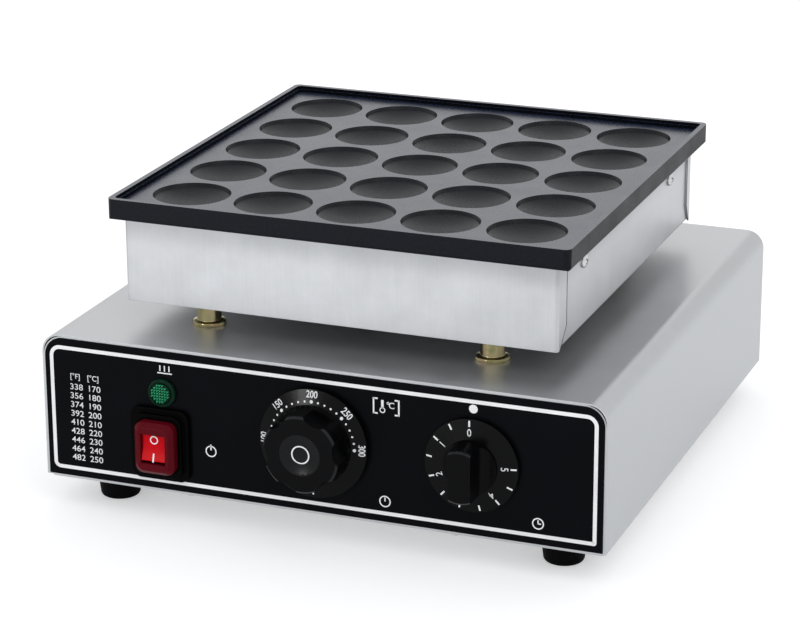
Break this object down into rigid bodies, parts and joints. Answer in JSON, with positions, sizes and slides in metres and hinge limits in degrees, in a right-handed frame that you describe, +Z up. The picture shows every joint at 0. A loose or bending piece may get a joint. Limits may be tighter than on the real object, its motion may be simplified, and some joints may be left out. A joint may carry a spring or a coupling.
{
  "type": "mini pancake maker",
  "caption": "Countertop mini pancake maker: a dark cast plate with a grid of round cups on a steel heater box above a flat steel base with a rocker switch, pilot lamp and two knobs.",
  "frame": {"origin": "on the table, under the middle of the outline of the whole object", "axes": "+X to the user's right, +Y from the control panel to the rear, +Z up"},
  "size_m": [0.337, 0.3698, 0.1799],
  "materials": {
    "stainless": "fine brushed stainless sheet",
    "coated_plate": "cast aluminium with a dark grey non-stick coating",
    "fascia": "black printed film with white print",
    "knob_black": "satin black moulded plastic",
    "switch_black": "satin black moulded plastic",
    "switch_red": "red translucent plastic",
    "lens_green": "green translucent plastic",
    "rubber": "black rubber",
    "zinc": "yellow passivated plating",
    "screw_steel": "bright zinc plated steel",
    "element_steel": "heat tinted steel sheath",
    "copper": "copper tube",
    "ceramic": "unglazed ceramic",
    "insulation": "ceramic fibre mat",
    "lead": "silicone insulated wire"
  },
  "bodies": {
    "cooker": {"base_shell": "stainless", "front_panel": "stainless", "front_fascia": "fascia", "rear_panel": "stainless", "bottom_plate": "stainless", "bottom_screws": "screw_steel", "rubber_feet": "rubber", "foot_screws": "screw_steel", "foot_nuts": "screw_steel", "cord_gland": "switch_black", "gland_nut": "switch_black", "standoffs": "zinc", "standoff_tubes": "zinc", "standoff_nuts": "zinc", "heater_tray": "stainless", "heater_front": "stainless", "heater_back": "stainless", "insulation_blanket": "insulation", "baking_plate": "coated_plate", "plate_screws": "screw_steel", "heating_element": "element_steel", "element_clamps": "screw_steel", "clamp_studs": "screw_steel", "clamp_nuts": "screw_steel", "thermostat_bulb": "copper", "capillary_tube": "copper", "thermostat_body": "ceramic", "thermostat_screws": "screw_steel", "timer_body": "screw_steel", "timer_screws": "screw_steel", "switch_bezel": "switch_black", "switch_body": "switch_black", "switch_boot": "switch_red", "switch_terminals": "zinc", "lamp_lens": "lens_green", "lamp_body": "switch_black", "lamp_nut": "screw_steel", "terminal_block": "ceramic", "terminal_screws": "zinc", "earth_stud": "zinc", "heater_leads": "lead", "control_wires": "lead"},
    "thermostat_control": {"thermostat_knob": "knob_black", "thermostat_spindle": "screw_steel"},
    "timer_control": {"timer_knob": "knob_black", "timer_spindle": "screw_steel"},
    "rocker": {"switch_rocker": "switch_red"}
  },
  "joints": [
    {"name": "thermostat_turn", "type": "hinge", "parent": "cooker", "child": "thermostat_control", "pos_m": [0, -0.16165, 0.0615], "axis": [0, -1, 0], "range_deg": [-180, 90]},
    {"name": "timer_turn", "type": "hinge", "parent": "cooker", "child": "timer_control", "pos_m": [0.0925, -0.16165, 0.0611], "axis": [0, 1, 0], "range_deg": [0, 270]},
    {"name": "rocker_tilt", "type": "hinge", "parent": "cooker", "child": "rocker", "pos_m": [-0.0945, -0.1685, 0.0475], "axis": [1, 0, 0], "range_deg": [0, 16]}
  ]
}
